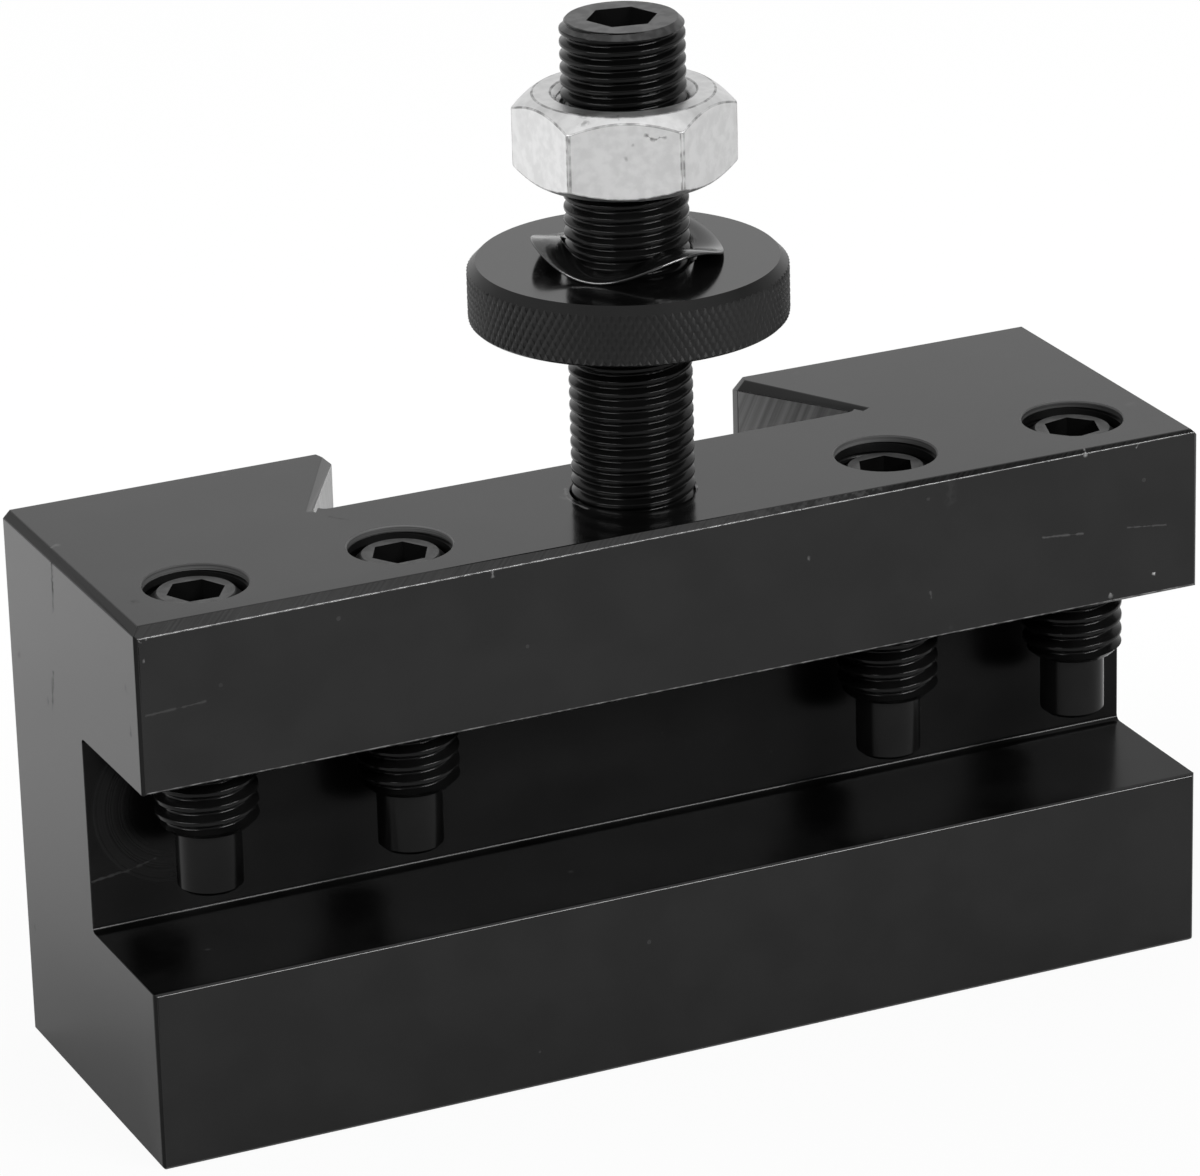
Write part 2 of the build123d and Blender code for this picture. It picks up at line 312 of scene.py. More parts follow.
class FinishSettings(bpy.types.PropertyGroup):
    oxide: colour("Black oxide", "Colour of the blackened steel", (0.0015, 0.0015, 0.0015))
    oxide_pale: colour("Pale oxide", "Colour where the blackening is thin", (0.0035, 0.0035, 0.0035))
    # Also the colour of the painted highlights on the washer's crest and at the top of the screw holes'
    # walls
    bare_steel_and_highlight: colour("Bare steel", "Colour of worn edges and scratches", (0.4, 0.4, 0.4))
    zinc: colour("Zinc", "Colour of the plating on the lock nut", (0.76, 0.76, 0.76))
    zinc_dirt: colour("Zinc dirt", "Colour of scratches in the plating", (0.14, 0.14, 0.14))
    zinc_stain: colour("Zinc stain", "Colour of dull patches in the plating", (0.6, 0.6, 0.6))


class StudioSettings(bpy.types.PropertyGroup):
    azimuth: angle("Camera azimuth", "Direction that the camera looks from", -24.269)
    elevation: angle("Camera elevation", "Height of the camera above the horizon", 21.457)
    roll: angle("Camera roll", "Tilt of the picture", -1.572)
    distance: length("Camera distance", "From the camera to its target", 631.35)
    target: FloatVectorProperty(
        name="Camera target",
        description="Point at the middle of the picture",
        default=(-0.000687, 0.000788, 0.04272),
        size=3,
        subtype="TRANSLATION",
        unit="LENGTH",
        precision=5,
    )
    lens: FloatProperty(name="Lens", description="Focal length", default=193.1, unit="CAMERA")


SETTINGS = {
    "holder_block_settings": HolderBlockSettings,
    "set_screw_settings": SetScrewSettings,
    "height_stud_settings": HeightStudSettings,
    "thumb_nut_settings": ThumbNutSettings,
    "spring_washer_settings": SpringWasherSettings,
    "lock_nut_settings": LockNutSettings,
    "finish_settings": FinishSettings,
    "studio_settings": StudioSettings,
}


# Modelling


def only(piece):
    """Selects the piece alone and makes it active."""
    bpy.ops.object.select_all(action="DESELECT")
    piece.select_set(True)
    bpy.context.view_layer.objects.active = piece


def edit(piece):
    """Opens the piece in edit mode with everything selected."""
    only(piece)
    enter_edit()
    select_mesh()


def enter_edit():
    bpy.ops.object.mode_set(mode="EDIT")


def leave_edit():
    bpy.ops.object.mode_set(mode="OBJECT")


def select_mesh(action="SELECT"):
    bpy.ops.mesh.select_all(action=action)


def weld_and_face_out(weld=WELD):
    """Merges doubles and turns the faces outwards, in edit mode."""
    select_mesh()
    bpy.ops.mesh.remove_doubles(threshold=weld)
    select_mesh()
    bpy.ops.mesh.normals_make_consistent(inside=False)


def modify(piece, kind, **values):
    """Adds a modifier with these values and applies it."""
    only(piece)
    modifier = piece.modifiers.new(kind.title(), kind)
    for name, value in values.items():
        setattr(modifier, name, value)
    bpy.ops.object.modifier_apply(modifier=modifier.name)


def combine(piece, other, operation):
    """Cuts, joins or intersects the piece with another solid, which is used up."""
    modify(piece, "BOOLEAN", object=other, operation=operation, solver="EXACT")
    bpy.data.meshes.remove(other.data)


def move_points(piece, offset):
    edit(piece)
    bpy.ops.transform.translate(value=offset)
    leave_edit()


def outline_piece(name, outline):
    """A line of edges through (radius, height) points, left open in edit mode."""
    bpy.ops.object.select_all(action="DESELECT")
    bpy.ops.mesh.primitive_plane_add(size=MM)
    piece = bpy.context.object
    piece.name = name
    enter_edit()
    select_mesh()
    bpy.ops.mesh.merge(type="CENTER")
    bpy.ops.transform.translate(value=(outline[0][0], 0, outline[0][1]))
    for start, end in zip(outline, outline[1:]):
        step = (end[0] - start[0], 0, end[1] - start[1])
        bpy.ops.mesh.extrude_vertices_move(TRANSFORM_OT_translate={"value": step})
    return piece


def turned_piece(name, outline, centre, steps):
    """A solid turned round the vertical axis through centre, as on a lathe."""
    piece = outline_piece(name, outline)
    select_mesh()
    bpy.ops.mesh.spin(steps=steps, angle=FULL_TURN, center=(0, 0, 0), axis=(0, 0, 1))
    weld_and_face_out()
    bpy.ops.transform.translate(value=(centre[0], centre[1], 0))
    leave_edit()
    return piece


def rounded(before, corner, after, radius, parts):
    """Points on the arc that rounds this corner of an outline."""
    before, corner, after = Vector(before), Vector(corner), Vector(after)
    back, on = (before - corner).normalized(), (after - corner).normalized()
    half = back.angle(on) / 2
    middle = corner + (back + on).normalized() * radius / math.sin(half)
    start = corner + back * radius / math.tan(half) - middle
    end = corner + on * radius / math.tan(half) - middle
    return [tuple(middle + start.slerp(end, part / parts) * radius) for part in range(parts + 1)]


def thread_outline(pitch, crest_radius, crest_width, root_width, start, parts):
    """One pitch of a thread with 60 degree flanks and rounded crests and roots."""
    flank = (pitch - crest_width - root_width) / 2
    root_radius = crest_radius - flank / math.tan(THREAD_HALF_ANGLE)
    rise, fall = start + root_width / 2 + flank, start + pitch - root_width / 2 - flank
    corners = [
        (root_radius, start),
        (root_radius, rise - flank),
        (crest_radius, rise),
        (crest_radius, fall),
        (root_radius, fall + flank),
        (root_radius, start + pitch),
    ]
    outline = [corners[0]]
    for place in range(1, len(corners) - 1):
        soft = CREST_SOFTNESS if corners[place][0] == crest_radius else ROOT_SOFTNESS
        outline += rounded(*corners[place - 1 : place + 2], soft * pitch, parts)
    return outline + [corners[-1]]


def threaded_rod(name, pitch, crest_radius, crest_width, root_width, centre, bottom, top, parts=1):
    """A closed right-hand thread between two flat ends."""
    start = bottom - SPARE_TURNS * pitch
    outline = thread_outline(pitch, crest_radius, crest_width, root_width, start, parts)
    piece = outline_piece(name, outline)
    leave_edit()
    modify(
        piece,
        "SCREW",
        axis="Z",
        angle=FULL_TURN,
        screw_offset=pitch,
        iterations=math.ceil((top - bottom) / pitch) + 2 * SPARE_TURNS,
        steps=THREAD_STEPS,
        render_steps=THREAD_STEPS,
        use_normal_calculate=True,
    )
    edit(piece)
    weld_and_face_out()
    for height, keep_above in ((bottom, True), (top, False)):
        select_mesh()
        bpy.ops.mesh.bisect(
            plane_co=(0, 0, height),
            plane_no=(0, 0, 1),
            use_fill=True,
            clear_inner=keep_above,
            clear_outer=not keep_above,
            threshold=TINY,
        )
    weld_and_face_out()
    bpy.ops.transform.translate(value=(centre[0], centre[1], 0))
    leave_edit()
    return piece


def hex_bar(name, across_flats, corner_azimuth, centre, bottom, top):
    """A hexagonal bar with a corner in the given direction."""
    bpy.ops.object.select_all(action="DESELECT")
    bpy.ops.mesh.primitive_cylinder_add(
        vertices=HEX_SIDES,
        radius=across_flats / 2 / math.cos(math.pi / HEX_SIDES),
        depth=top - bottom,
        location=(centre[0], centre[1], (bottom + top) / 2),
        rotation=(0, 0, corner_azimuth - math.pi / 2),
    )
    bar = bpy.context.object
    bar.name = name
    bpy.ops.object.transform_apply(location=True, rotation=True, scale=True)
    return bar


def cut_hex_socket(piece, across_flats, corner_azimuth, depth, centre, top):
    """A hex socket with a drill point, cut down from the piece's end."""
    point = across_flats / 2 / math.tan(DRILL_POINT_ANGLE / 2)
    floor = top - depth
    bar = hex_bar("socket_bar", across_flats, corner_azimuth, centre, floor, top + OVERRUN)
    combine(piece, bar, "DIFFERENCE")
    reach = across_flats / 2
    over = 0.1 * MM
    outline = [(0, floor - point), (reach, floor), (reach, floor + over), (0, floor + over)]
    drill = turned_piece("socket_drill", outline, centre, DRILL_STEPS)
    combine(piece, drill, "DIFFERENCE")


def smooth(piece, degrees, flat_first=False):
    """Smooth shading up to this angle; flat_first keeps large faces flat beside soft edges."""
    only(piece)
    bpy.ops.object.shade_smooth_by_angle(angle=math.radians(degrees))
    if flat_first:
        modify(piece, "WEIGHTED_NORMAL", mode="FACE_AREA", weight=100, keep_sharp=True)


def coat(piece, *materials):
    """Gives the piece its finishes, the first one all over."""
    piece.data.materials.clear()
    for material in materials:
        piece.data.materials.append(material)


def dress(piece, node):
    """The finished piece stands for its node and rides on the node's body."""
    piece.name = node + "_dressed"
    piece.data.name = piece.name
    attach(piece, NODES[node]["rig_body"])
    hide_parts(node)


# Shader effects


def effect_group(name, inputs, outputs):
    """A new shader node group with these inputs and number outputs."""
    group = bpy.data.node_groups.new(name, "ShaderNodeTree")
    for socket, kind, value in inputs:
        made = group.interface.new_socket(name=socket, in_out="INPUT", socket_type=kind)
        if value is not None:
            made.default_value = value
    for socket in outputs:
        group.interface.new_socket(name=socket, in_out="OUTPUT", socket_type="NodeSocketFloat")
    start = group.nodes.new("NodeGroupInput")
    end = group.nodes.new("NodeGroupOutput")
    return group, start.outputs, end.inputs


def join(tree, start, end):
    tree.links.new(start, end)


def fill(tree, socket, value):
    """Links another node's output to the socket, or sets a plain value on it."""
    if isinstance(value, bpy.types.NodeSocket):
        join(tree, value, socket)
    else:
        socket.default_value = value


def add_node(tree, kind, values=(), **inputs):
    """A node with attribute values and sockets that are given by name."""
    node = tree.nodes.new("ShaderNode" + kind)
    for name, value in dict(values).items():
        setattr(node, name, value)
    for name, value in inputs.items():
        place = int(name[1:]) if name in ("n0", "n1") else name.replace("_", " ")
        fill(tree, node.inputs[place], value)
    return node


def calculate(tree, operation, first, second=0.0, clamp=False):
    node = add_node(tree, "Math", {"operation": operation, "use_clamp": clamp}, n0=first, n1=second)
    return node.outputs[0]


def multiply(tree, first, second):
    return calculate(tree, "MULTIPLY", first, second)


def add(tree, first, second):
    return calculate(tree, "ADD", first, second)


def vector_math(tree, operation, first, second):
    return add_node(tree, "VectorMath", {"operation": operation}, n0=first, n1=second).outputs[0]


def dot(tree, first, second):
    node = add_node(tree, "VectorMath", {"operation": "DOT_PRODUCT"}, n0=first, n1=second)
    return node.outputs["Value"]


def band(tree, value, low, high, to_low=0.0, to_high=1.0):
    """Smoothly maps value from low..high to to_low..to_high."""
    node = add_node(
        tree,
        "MapRange",
        {"interpolation_type": "SMOOTHSTEP"},
        Value=value,
        From_Min=low,
        From_Max=high,
        To_Min=to_low,
        To_Max=to_high,
    )
    return node.outputs[0]


def mottle_effect():
    """Soft cloudy patches and a fine grain."""
    tree, given, made = effect_group(
        "mottle",
        [
            ("Vector", "NodeSocketVector", None),
            ("Patch", "NodeSocketFloat", 300.0),
            ("Grain", "NodeSocketFloat", 6000.0),
        ],
        ["Patches", "Fine"],
    )
    patches = add_node(tree, "TexNoise", Vector=given["Vector"], Scale=given["Patch"], Detail=4.0)
    grain = add_node(tree, "TexNoise", Vector=given["Vector"], Scale=given["Grain"], Detail=2.0)
    join(tree, band(tree, patches.outputs["Fac"], *NOISE_BAND), made["Patches"])
    join(tree, grain.outputs["Fac"], made["Fine"])
    return tree


def speck_effect():
    """Small round specks, few and of several sizes."""
    tree, given, made = effect_group(
        "specks",
        [("Vector", "NodeSocketVector", None), ("Scale", "NodeSocketFloat", 350.0)],
        ["Specks"],
    )
    spots = add_node(tree, "TexVoronoi", Vector=given["Vector"], Scale=given["Scale"])
    chosen = add_node(tree, "SeparateColor", Color=spots.outputs["Color"])
    rare = band(tree, chosen.outputs[0], 0.93, 0.95)
    size = multiply(tree, chosen.outputs[1], 0.16)
    near = calculate(tree, "LESS_THAN", spots.outputs["Distance"], size)
    join(tree, multiply(tree, rare, near), made["Specks"])
    return tree


def stroke_effect():
    """A hairline between two points, uneven along its length."""
    tree, given, made = effect_group(
        "stroke",
        [
            ("Vector", "NodeSocketVector", None),
            ("Start", "NodeSocketVector", None),
            ("End", "NodeSocketVector", None),
            ("Width", "NodeSocketFloat", 0.1 * MM),
            ("Uneven", "NodeSocketFloat", 0.5),
        ],
        ["Stroke"],
    )
    run = vector_math(tree, "SUBTRACT", given["End"], given["Start"])
    away = vector_math(tree, "SUBTRACT", given["Vector"], given["Start"])
    along = calculate(tree, "DIVIDE", dot(tree, away, run), dot(tree, run, run), clamp=True)
    nearest = add_node(tree, "VectorMath", {"operation": "SCALE"}, n0=run, Scale=along).outputs[0]
    gap = vector_math(tree, "SUBTRACT", away, nearest)
    distance = calculate(tree, "SQRT", dot(tree, gap, gap))
    half = multiply(tree, given["Width"], given["Uneven"])
    line = add_node(
        tree, "MapRange", Value=distance, From_Min=0.0, From_Max=half, To_Min=1.0, To_Max=0.0
    )
    join(tree, line.outputs[0], made["Stroke"])
    return tree


def tool_mark_effect():
    """Fine uneven lines that a cutter leaves, across one coordinate."""
    tree, given, made = effect_group(
        "tool_marks",
        [
            ("Across", "NodeSocketFloat", 0.0),
            ("Along", "NodeSocketFloat", 0.0),
            ("Lines", "NodeSocketFloat", 3000.0),
        ],
        ["Height"],
    )
    place = add_node(
        tree,
        "CombineXYZ",
        X=multiply(tree, given["Across"], given["Lines"]),
        Y=multiply(tree, given["Along"], 30.0),
    )
    lines = add_node(tree, "TexNoise", Vector=place.outputs[0], Scale=1.0, Detail=3.0, Roughness=0.6)
    join(tree, lines.outputs["Fac"], made["Height"])
    return tree


def effect(tree, group_name, **inputs):
    node = tree.nodes.new("ShaderNodeGroup")
    node.node_tree = bpy.data.node_groups[group_name]
    for name, value in inputs.items():
        fill(tree, node.inputs[name], value)
    return node.outputs


def tool_lines(tree, across, lines, along=0.0):
    """Height of the fine lines that a cutter leaves across one coordinate."""
    return effect(tree, "tool_marks", Across=across, Along=along, Lines=lines)["Height"]


def mix_colour(tree, factor, first, second):
    node = add_node(tree, "Mix", {"data_type": "RGBA"})
    join(tree, factor, node.inputs[0])
    for socket, value in ((node.inputs[6], first), (node.inputs[7], second)):
        opaque = value if isinstance(value, bpy.types.NodeSocket) else (*value, 1.0)
        fill(tree, socket, opaque)
    return node.outputs[2]


def new_material(name, **constants):
    """A material with a Principled shader whose plain values are set on its own sockets."""
    material = bpy.data.materials.new(name)
    material.use_nodes = True
    tree = material.node_tree
    shader = tree.nodes["Principled BSDF"]
    for socket, value in constants.items():
        shader.inputs[socket.replace("_", " ")].default_value = value
    place = tree.nodes.new("ShaderNodeTexCoord").outputs["Object"]
    return material, tree, shader, place


def set_surface(tree, shader, base, roughness, height):
    join(tree, base, shader.inputs["Base Color"])
    join(tree, roughness, shader.inputs["Roughness"])
    relief = add_node(tree, "Bump", Strength=1.0, Distance=1.0, Height=height)
    join(tree, relief.outputs[0], shader.inputs["Normal"])


def radius_from(tree, place, centre, axes):
    """Distance from a centre line, for turned and milled marks."""
    parts = add_node(tree, "SeparateXYZ", Vector=place)
    across = calculate(tree, "SUBTRACT", parts.outputs[axes[0]], centre[0])
    up = calculate(tree, "SUBTRACT", parts.outputs[axes[1]], centre[1])
    across_square = multiply(tree, across, across)
    up_square = multiply(tree, up, up)
    return calculate(tree, "SQRT", add(tree, across_square, up_square))


def strokes(tree, place, marks):
    """All the hairlines of one kind together, each as strong as it is set."""
    noise = add_node(tree, "TexNoise", Vector=place, Scale=1500.0, Detail=2.0)
    uneven = band(tree, noise.outputs["Fac"], 0.35, 0.6, 0.1, 1.0)
    total = None
    for start, end, width, strength in marks:
        line = effect(
            tree,
            "stroke",
            Vector=place,
            Start=[part * MM for part in start],
            End=[part * MM for part in end],
            Width=width * MM,
            Uneven=uneven,
        )["Stroke"]
        line = multiply(tree, line, strength)
        total = line if total is None else calculate(tree, "MAXIMUM", total, line)
    return total


def black_oxide(
    name,
    marks=None,
    mark_depth=0.0,
    roughness=0.13,
    wear=0.0,
    shine=1.45,
    light=(),
    dark=(),
    mark_shade=0.0,
    speckle=0.03,
):
    """Blackened steel: cloudy film, fine grain, specks, hairlines, and bare metal where worn.

    marks is one of the functions ending in _marks; it may paint a highlight, as at the top of the screw
    holes. light and dark are rows of hairlines; a few are painted light: a painted highlight on the
    washer's crest and painted shade on the filed edge.
    """
    finish = bpy.context.scene.finish_settings
    material, tree, shader, place = new_material(name, IOR=shine, Metallic=0.0)
    clouds = effect(tree, "mottle", Vector=place, Patch=120.0, Grain=9000.0)
    specks = effect(tree, "specks", Vector=place, Scale=420.0)["Specks"]
    film = mix_colour(tree, clouds["Patches"], finish.oxide, finish.oxide_pale)
    bare_and_highlight = multiply(tree, specks, speckle)
    if light:
        # Light strokes: bare hairlines, and on the washer's crest a painted highlight
        bare_and_highlight = add(tree, bare_and_highlight, strokes(tree, place, light))
    if wear:
        rubbed = effect(tree, "mottle", Vector=place, Patch=900.0, Grain=9000.0)
        worn = band(tree, rubbed["Patches"], 0.0, 1.0, 0.25 * wear, wear)
        bare_and_highlight = calculate(tree, "ADD", bare_and_highlight, worn, clamp=True)
    rough = add(tree, multiply(tree, clouds["Patches"], 0.03), roughness)
    height = multiply(tree, clouds["Fine"], 0.0002 * MM)
    if marks is not None:
        marked = marks(tree, place)
        height = add(tree, height, multiply(tree, marked, mark_depth))
        # Marks lighten the colour; at the top of the screw holes' walls this is a painted highlight
        bare_and_highlight = add(tree, bare_and_highlight, multiply(tree, marked, mark_shade))
    if dark:
        # Dark strokes dim the reflection: dull hairlines, and on the filed edge a wide painted shade
        dulled_and_shaded = multiply(tree, strokes(tree, place, dark), 0.5)
        join(tree, calculate(tree, "SUBTRACT", 0.5, dulled_and_shaded), shader.inputs["Specular IOR Level"])
    set_surface(tree, shader, mix_colour(tree, bare_and_highlight, film, finish.bare_steel_and_highlight), rough, height)
    return material


# Finishes


def make_effects():
    for make in (mottle_effect, speck_effect, stroke_effect, tool_mark_effect):
        make()


def turned_marks(tree, place):
    """Rings round the stud's axis."""
    radius = radius_from(tree, place, STUD_CENTRE, (0, 1))
    return tool_lines(tree, radius, 9000.0)


def screw_radius(tree, place):
    """Distance from the nearest screw's axis."""
    nearest = None
    for low, high in SCREW_BOXES.values():
        radius = radius_from(tree, place, (low + high) / 2, (0, 1))
        nearest = radius if nearest is None else calculate(tree, "MINIMUM", nearest, radius)
    return nearest


def end_marks(tree, place):
    """Rings on the ends of the set screws."""
    lines = tool_lines(tree, screw_radius(tree, place), 5000.0)
    return band(tree, lines, *WIDE_NOISE_BAND)


def rim_highlight_marks(tree, place):
    """A lighter band at the top of each screw hole's wall, a painted highlight standing for a lit
    countersink, with fine tool lines across it.
    """
    x, _, z = add_node(tree, "SeparateXYZ", Vector=place).outputs
    top = BLOCK_HIGH.z
    shown = band(tree, z, top - 0.72 * MM, top - 0.6 * MM)
    lines = tool_lines(tree, z, 5000.0, x)
    return multiply(tree, band(tree, lines, *WIDE_NOISE_BAND, 0.2, 1.0), shown)


def milled_marks(tree, place):
    """Arcs that the cutter left at the slot's left end, round the place where it began."""
    arc_centre = (-47.0 * MM, 30.4 * MM)
    radius = radius_from(tree, place, arc_centre, (0, 2))
    lines = tool_lines(tree, radius, 4200.0)
    inside = band(tree, radius, 4.0 * MM, 5.6 * MM)
    outside = band(tree, radius, 8.6 * MM, 8.2 * MM)
    x = add_node(tree, "SeparateXYZ", Vector=place).outputs[0]
    left = band(tree, x, -46.5 * MM, -50.5 * MM)
    shown = multiply(tree, multiply(tree, inside, outside), left)
    return multiply(tree, band(tree, lines, *NOISE_BAND), shown)


def filed_marks(tree, place):
    """Slanting file marks on the hand-broken front edge."""
    x, _, z = add_node(tree, "SeparateXYZ", Vector=place).outputs
    slant = add(tree, x, multiply(tree, z, -1.6))
    lines = tool_lines(tree, slant, 3400.0)
    return band(tree, lines, *NOISE_BAND)


def flank_marks(tree, place):
    """Slanting cutter lines on the dovetail's flanks."""
    _, y, z = add_node(tree, "SeparateXYZ", Vector=place).outputs
    leaning_y = multiply(tree, y, 0.9)
    slant = add(tree, leaning_y, multiply(tree, z, 0.35))
    lines = tool_lines(tree, slant, 1300.0)
    return band(tree, lines, *WIDE_NOISE_BAND, 0.35, 1.0)


# Pieces


class TOOLHOLDER_OT_block(bpy.types.Operator):
    """Softens the block's edges, cuts the tapped holes' threads and gives each face its finish"""

    bl_idname = "toolholder.block"
    bl_label = "Holder block"

    def execute(self, context):
        sizes = context.scene.holder_block_settings
        screws = context.scene.set_screw_settings
        block = bpy.data.objects.new("holder_block_work", NODES["holder_block"].data.copy())
        context.scene.collection.objects.link(block)
        edit(block)
        bpy.ops.mesh.customdata_custom_splitnormals_clear()
        bpy.ops.mesh.remove_doubles(threshold=SHORT_EDGE)
        bpy.ops.mesh.dissolve_limited(angle_limit=math.radians(1))
        leave_edit()
        coat(
            block,
            black_oxide("block_ground", light=LIGHT_MARKS, dark=DARK_MARKS),
            black_oxide("block_worn_edge", wear=0.34),
            black_oxide(
                "block_milled",
                milled_marks,
                0.003 * MM,
                0.22,
                shine=1.22,
                light=SLOT_MARKS,
                mark_shade=0.02,
            ),
            black_oxide(
                "block_filed",
                filed_marks,
                0.0016 * MM,
                0.3,
                light=(EDGE_NICK,),
                # Painted shade: dims the edge's reflection right of the stud
                dark=FILED_EDGE_PAINTED_SHADE,
                mark_shade=0.03,
            ),
            black_oxide("block_flank", flank_marks, 0.004 * MM, 0.3, mark_shade=0.38),
            black_oxide("block_broken_edge", roughness=0.3, shine=1.28),
            black_oxide("block_slot", roughness=0.2, shine=1.22),
            # Hole walls: the lighter band at their top is a painted highlight
            black_oxide("block_countersink", rim_highlight_marks, 0.001 * MM, 0.4, shine=1.3, mark_shade=0.22),
        )
        self.soften_edges(block, sizes.edge_softness)
        top = BLOCK_HIGH.z - sizes.hole_lead
        for name in SCREW_NAMES:
            low, high = SCREW_BOXES[name]
            centre = (low + high) / 2
            radius = (high.x - low.x) / 2 + HOLE_CLEARANCE + sizes.hole_groove
            bottom = BLOCK_HIGH.z - HOLE_TAP_DEPTH
            cutter = threaded_rod(
                "hole_tap", screws.pitch, radius, HOLE_TAP_CREST, HOLE_TAP_ROOT, centre, bottom, top
            )
            combine(block, cutter, "DIFFERENCE")
        smooth(block, 30, flat_first=True)
        dress(block, "holder_block")
        self.finish_faces(block)
        return {"FINISHED"}

    def soften_edges(self, block, width):
        """Bevels the long straight edges and leaves the round rims as they are."""
        mesh = block.data
        normals = {}
        for face in mesh.polygons:
            for key in face.edge_keys:
                normals.setdefault(key, []).append(face.normal)
        weight = mesh.attributes.new("bevel_weight_edge", "FLOAT", "EDGE")
        least_turn = math.radians(20)
        for edge in mesh.edges:
            sides = normals.get(tuple(sorted(edge.vertices)), [])
            span = mesh.vertices[edge.vertices[0]].co - mesh.vertices[edge.vertices[1]].co
            if len(sides) == 2 and sides[0].angle(sides[1]) > least_turn and span.length > LONG_EDGE:
                weight.data[edge.index].value = 1.0
        modify(
            block,
            "BEVEL",
            limit_method="WEIGHT",
            width=width,
            segments=2,
            material=WORN_EDGE,
            use_clamp_overlap=False,
        )

    def finish_faces(self, block):
        """Gives the soft edges and the faces between them their finishes."""
        for face in block.data.polygons:
            choose = self.edge_finish if face.material_index == WORN_EDGE else self.face_finish
            face.material_index = choose(face.center, face.normal)

    def edge_finish(self, centre, normal):
        """Bare metal shows along the upper front edges only."""
        strip, slight_lean = 0.3 * MM, 0.2
        near_front = centre.y < BLOCK_LOW.y + strip and centre.z > BLOCK_HIGH.z / 2
        return WORN_EDGE if near_front and abs(normal.x) <= slight_lean else GROUND

    def face_finish(self, centre, normal):
        """Milled slot back, filed and dark edge breaks, cutter lines in the dovetail."""
        front, top, end = BLOCK_LOW.y, BLOCK_HIGH.z, BLOCK_HIGH.x
        slot_middle, edge_reach, end_reach = 10 * MM, 2 * MM, 1.5 * MM
        leaning, square_on, hardly = 0.5, 0.99, 0.1
        flank_least, flank_most, forward = 0.8, 0.9, 0.4
        sloping = sum(abs(part) > leaning for part in normal) == 2
        if self.in_screw_hole(centre) and centre.z < top - TINY:
            return COUNTERSINK
        if normal.y < -square_on and centre.y > front + slot_middle:
            return MILLED
        if sloping and normal.z > leaning and normal.y < -leaning and centre.y < front + edge_reach:
            return FILED if centre.z > top - edge_reach else GROUND
        if flank_least < abs(normal.x) < flank_most and normal.y < -forward and centre.y > 0:
            return FLANK
        if sloping and abs(normal.x) > leaning and abs(centre.x) > end - end_reach:
            return BROKEN_EDGE
        inside = centre.y > front + MM and MM < centre.z < top - MM
        return SLOT if inside and abs(normal.x) < hardly and normal.y < hardly else GROUND

    def in_screw_hole(self, point):
        margin, depth = 0.4 * MM, 17 * MM
        for low, high in SCREW_BOXES.values():
            if (point.xy - ((low + high) / 2).xy).length < (high.x - low.x) / 2 + margin:
                return point.z > BLOCK_HIGH.z - depth
        return False


class TOOLHOLDER_OT_set_screws(bpy.types.Operator):
    """Models a full-dog set screw with its thread and hex socket, and one for each hole"""

    bl_idname = "toolholder.set_screws"
    bl_label = "Set screws"

    def execute(self, context):
        sizes = context.scene.set_screw_settings
        blacks = (
            black_oxide("screw_black", roughness=0.18, shine=1.28),
            black_oxide("screw_end", end_marks, 0.001 * MM, 0.35, wear=0.05, shine=1.4, mark_shade=0.06),
        )
        socket_turns = (-3.0, 2.0, 5.7, 12.0)
        low, high = SCREW_BOXES[SCREW_NAMES[0]]
        master = self.plain_screw(sizes, (high.x - low.x) / 2, high.z - low.z)
        for name, turn in zip(SCREW_NAMES, socket_turns):
            low, high = SCREW_BOXES[name]
            centre = (low + high) / 2
            screw = bpy.data.objects.new(name + "_work", master.data.copy())
            context.scene.collection.objects.link(screw)
            move_points(screw, (centre.x, centre.y, low.z))
            corner = math.radians(turn)
            cut_hex_socket(screw, sizes.socket_flats, corner, sizes.socket_depth, centre, high.z)
            edit(screw)
            bpy.ops.mesh.fill_holes(sides=HEX_SIDES)
            leave_edit()
            smooth(screw, 32)
            coat(screw, *blacks)
            end = high.z - sizes.head_chamfer
            for face in screw.data.polygons:
                face.material_index = int(face.center.z > end and face.normal.z > 0.5)
            dress(screw, name)
        bpy.data.meshes.remove(master.data)
        return {"FINISHED"}

    def plain_screw(self, sizes, radius, height):
        """The screw without its socket, standing on its tip at the origin."""
        over = 0.06 * MM
        dog = sizes.dog_diameter / 2
        shoulder = sizes.dog_length
        envelope = turned_piece(
            "screw_envelope",
            [
                (0, 0),
                (dog - sizes.dog_chamfer, 0),
                (dog, sizes.dog_chamfer),
                (dog, shoulder),
                (radius - sizes.shoulder_chamfer, shoulder),
                (radius + over, shoulder + sizes.shoulder_chamfer + over),
                (radius + over, height - sizes.head_chamfer - over),
                (radius - sizes.head_chamfer, height),
                (0, height),
            ],
            (0, 0),
            SCREW_STEPS,
        )
        rod = threaded_rod(
            "screw_rod",
            sizes.pitch,
            radius,
            sizes.crest_width,
            SCREW_ROOT,
            (0, 0),
            -OVERRUN,
            height + OVERRUN,
            ARC_PARTS,
        )
        combine(rod, envelope, "INTERSECT")
        return rod


